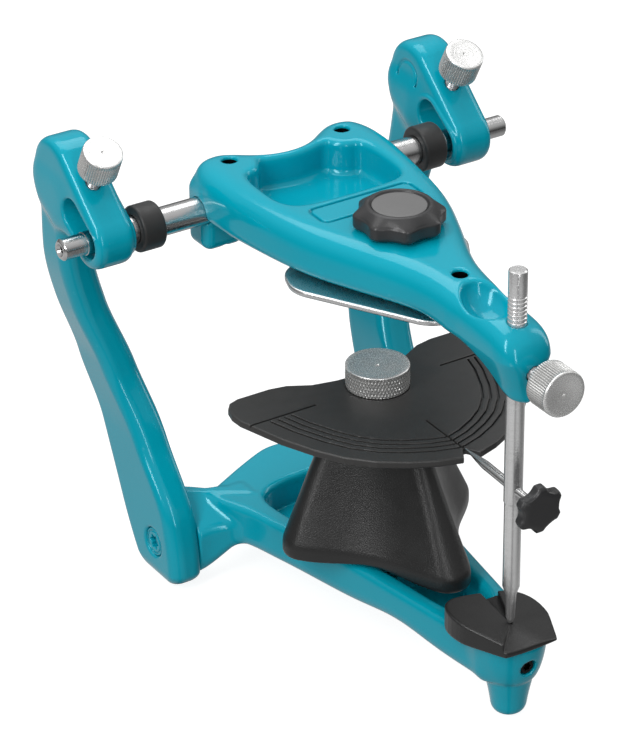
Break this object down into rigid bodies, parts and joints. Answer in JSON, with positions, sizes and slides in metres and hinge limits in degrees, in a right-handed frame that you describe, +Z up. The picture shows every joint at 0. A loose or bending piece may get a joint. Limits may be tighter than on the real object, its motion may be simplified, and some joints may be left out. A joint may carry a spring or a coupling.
{
  "type": "dental articulator",
  "caption": "Hinged jaw simulator: enamelled upper and lower frames, two leaning posts with sloped condylar slots, incisal pin with pointer, notched occlusal plate on a plinth.",
  "frame": {"origin": "centre of the front foot's underside, on the table and on the mid-plane", "axes": "+Z up, +Y to the rear (the hinge axis runs along X at y = 0.1083, z = 0.110), -Y to the front, +X to the viewer's right when the viewer faces the incisal pin"},
  "size_m": [0.142, 0.1626, 0.138],
  "materials": {
    "enamel": "glossy teal enamel on cast metal",
    "polished_steel": "polished steel",
    "nickel": "turned and knurled, satin nickel",
    "stud_steel": "plain steel",
    "black_oxide": "black oxide steel",
    "black_plastic": "fine-grained black plastic",
    "black_plate": "satin black plate",
    "collar_rubber": "matte black elastomer"
  },
  "bodies": {
    "lower_member": {"lower_frame": "enamel", "left_post": "enamel", "right_post": "enamel", "post_screws": "enamel", "post_dowels": "polished_steel", "incisal_table": "black_plastic", "setup_plinth": "black_plastic", "plinth_inserts": "stud_steel", "occlusal_plate": "black_plate"},
    "right_condyle": {"right_roller": "polished_steel"},
    "left_condyle": {"left_roller": "polished_steel", "left_collar": "collar_rubber", "right_collar": "collar_rubber"},
    "upper_member": {"upper_frame": "enamel", "hinge_shaft": "polished_steel", "shaft_grub_screws": "black_oxide", "upper_mount_plate": "polished_steel", "plate_dowels": "polished_steel"},
    "incisal_rod": {"incisal_pin": "polished_steel"},
    "left_lock_slide": {"left_lock_stud": "stud_steel"},
    "left_lock_turn": {"left_lock_knob": "nickel"},
    "right_lock_slide": {"right_lock_stud": "stud_steel"},
    "right_lock_turn": {"right_lock_knob": "nickel"},
    "pin_lock_slide": {"pin_lock_stud": "stud_steel"},
    "pin_lock_turn": {"pin_lock_knob": "nickel"},
    "upper_clamp_slide": {"upper_clamp_stud": "stud_steel"},
    "upper_clamp_turn": {"upper_clamp_knob": "black_plastic", "upper_knob_cap": "black_plastic"},
    "lower_clamp_slide": {"lower_clamp_stud": "stud_steel"},
    "lower_clamp_turn": {"lower_clamp_knob": "black_oxide"},
    "plate_screw_slide": {"plate_stud": "stud_steel"},
    "plate_screw_turn": {"plate_knob": "nickel"},
    "pointer_slide_body": {"incisal_pointer": "polished_steel"},
    "pointer_turn_body": {"pointer_knob": "black_plastic"},
    "set_screw": {"table_set_screw": "black_oxide"}
  },
  "joints": [
    {"name": "right_condyle_travel", "type": "hinge", "parent": "lower_member", "child": "right_condyle", "pos_m": [-0.0574, 0.1083, 0.11], "axis": [0, -0.5592, 0.829], "range_deg": [0, 4.5]},
    {"name": "left_condyle_travel", "type": "hinge", "parent": "right_condyle", "child": "left_condyle", "pos_m": [0.0574, 0.1083, 0.11], "axis": [0, 0.5592, -0.829], "range_deg": [0, 4.5]},
    {"name": "opening", "type": "hinge", "parent": "left_condyle", "child": "upper_member", "pos_m": [0, 0.1083, 0.11], "axis": [-1, 0, 0], "range_deg": [0, 110]},
    {"name": "pin_height", "type": "slide", "parent": "upper_member", "child": "incisal_rod", "axis": [0, 0, 1], "range_m": [0, 0.012]},
    {"name": "left_lock_travel", "type": "slide", "parent": "lower_member", "child": "left_lock_slide", "axis": [0, -0.4695, 0.8829], "range_m": [0, 0.0014]},
    {"name": "left_lock_screw", "type": "hinge", "parent": "left_lock_slide", "child": "left_lock_turn", "pos_m": [-0.0574, 0.1072, 0.1357], "axis": [0, -0.4695, 0.8829], "range_deg": [0, 720.7]},
    {"name": "right_lock_travel", "type": "slide", "parent": "lower_member", "child": "right_lock_slide", "axis": [0, -0.4695, 0.8829], "range_m": [0, 0.0014]},
    {"name": "right_lock_screw", "type": "hinge", "parent": "right_lock_slide", "child": "right_lock_turn", "pos_m": [0.0574, 0.1072, 0.1357], "axis": [0, -0.4695, 0.8829], "range_deg": [0, 720.7]},
    {"name": "pin_lock_travel", "type": "slide", "parent": "upper_member", "child": "pin_lock_slide", "axis": [0, -1, 0], "range_m": [0, 0.0014]},
    {"name": "pin_lock_screw", "type": "hinge", "parent": "pin_lock_slide", "child": "pin_lock_turn", "pos_m": [0, -0.0169, 0.1054], "axis": [0, -1, 0], "range_deg": [0, 720.7]},
    {"name": "upper_clamp_travel", "type": "slide", "parent": "upper_member", "child": "upper_clamp_slide", "axis": [0, 0, 1], "range_m": [0, 0.0024]},
    {"name": "upper_clamp_screw", "type": "hinge", "parent": "upper_clamp_slide", "child": "upper_clamp_turn", "pos_m": [0, 0.0533, 0.123], "axis": [0, 0, 1], "range_deg": [0, 1081.1]},
    {"name": "lower_clamp_travel", "type": "slide", "parent": "lower_member", "child": "lower_clamp_slide", "axis": [0, 0, -1], "range_m": [0, 0.0024]},
    {"name": "lower_clamp_screw", "type": "hinge", "parent": "lower_clamp_slide", "child": "lower_clamp_turn", "pos_m": [0, 0.0533, 0.008], "axis": [0, 0, -1], "range_deg": [0, 1081.1]},
    {"name": "plate_screw_travel", "type": "slide", "parent": "lower_member", "child": "plate_screw_slide", "axis": [0, 0, 1], "range_m": [0, 0.004]},
    {"name": "plate_screw", "type": "hinge", "parent": "plate_screw_slide", "child": "plate_screw_turn", "pos_m": [0, 0.0635, 0.073], "axis": [0, 0, 1], "range_deg": [0, 1801.8]},
    {"name": "pointer_travel", "type": "slide", "parent": "incisal_rod", "child": "pointer_slide_body", "axis": [0, -0.9989, -0.0471], "range_m": [0, 0.008]},
    {"name": "pointer_screw", "type": "hinge", "parent": "pointer_slide_body", "child": "pointer_turn_body", "pos_m": [0, -0.0121, 0.0677], "axis": [0, -0.9989, -0.0471], "range_deg": [0, 6406.4]},
    {"name": "table_screw", "type": "hinge", "parent": "lower_member", "child": "set_screw", "pos_m": [0, -0.0062, 0.0178], "axis": [0, -1, 0], "range_deg": [0, 360]}
  ],
  "couplings": [
    {"joint": "left_lock_screw", "follows": "left_lock_travel", "rad_per_m": 8976},
    {"joint": "right_lock_screw", "follows": "right_lock_travel", "rad_per_m": 8976},
    {"joint": "pin_lock_screw", "follows": "pin_lock_travel", "rad_per_m": 8976},
    {"joint": "upper_clamp_screw", "follows": "upper_clamp_travel", "rad_per_m": 7854},
    {"joint": "lower_clamp_screw", "follows": "lower_clamp_travel", "rad_per_m": 7854},
    {"joint": "plate_screw", "follows": "plate_screw_travel", "rad_per_m": 7854},
    {"joint": "pointer_screw", "follows": "pointer_travel", "rad_per_m": 13963}
  ]
}
